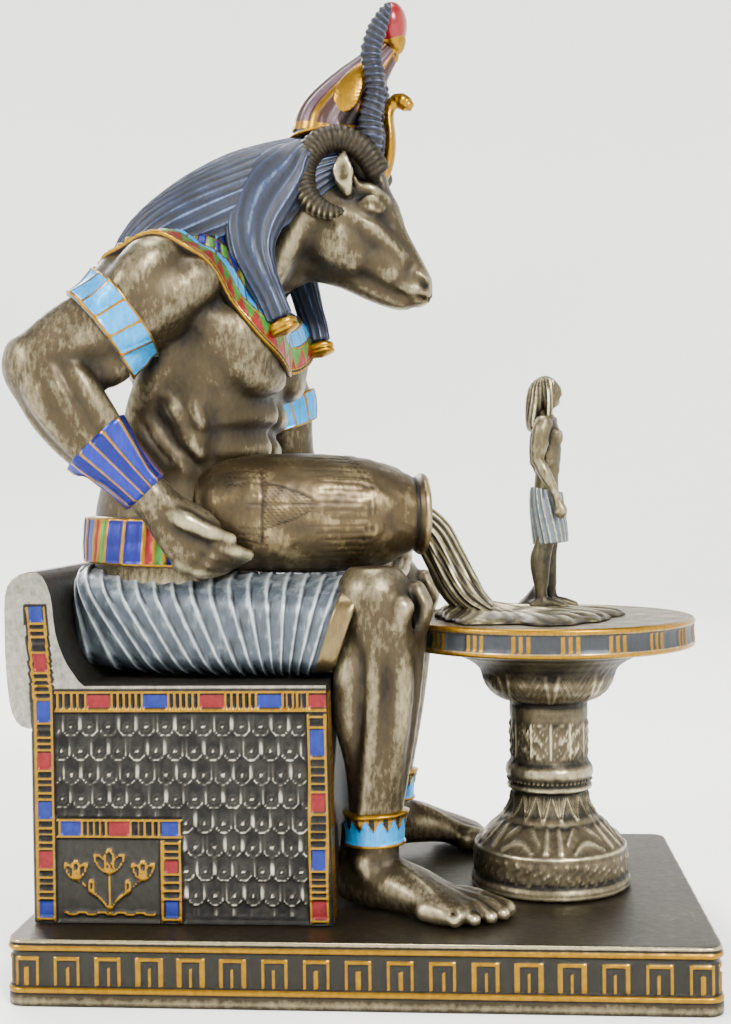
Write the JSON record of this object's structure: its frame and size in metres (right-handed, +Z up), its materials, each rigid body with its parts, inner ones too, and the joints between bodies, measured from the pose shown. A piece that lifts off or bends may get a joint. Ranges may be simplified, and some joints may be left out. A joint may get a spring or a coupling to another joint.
{
  "type": "ram-headed god statuette",
  "caption": "Ram-headed seated god pours clay from a jar on to a potter's table where a small man stands, on a block throne and plinth.",
  "frame": {"origin": "centre of the plinth's underside", "axes": "+Z up, +X the way the god faces, +Y to the god's left side"},
  "size_m": [0.161, 0.1, 0.235],
  "materials": {
    "dark_bronze": "cold-cast bronze, dark patina with rubbed edges",
    "bronze": "cold-cast bronze, pewter highlights, hand-painted ornaments",
    "warm_bronze": "cold-cast bronze, warm satin",
    "pale_bronze": "cold-cast bronze, pale rubbed satin"
  },
  "bodies": {
    "root": {"plinth": "dark_bronze", "throne": "dark_bronze", "seated_god": "bronze", "jar": "warm_bronze", "pedestal_table": "bronze", "stream_with_man": "pale_bronze"}
  },
  "joints": []
}
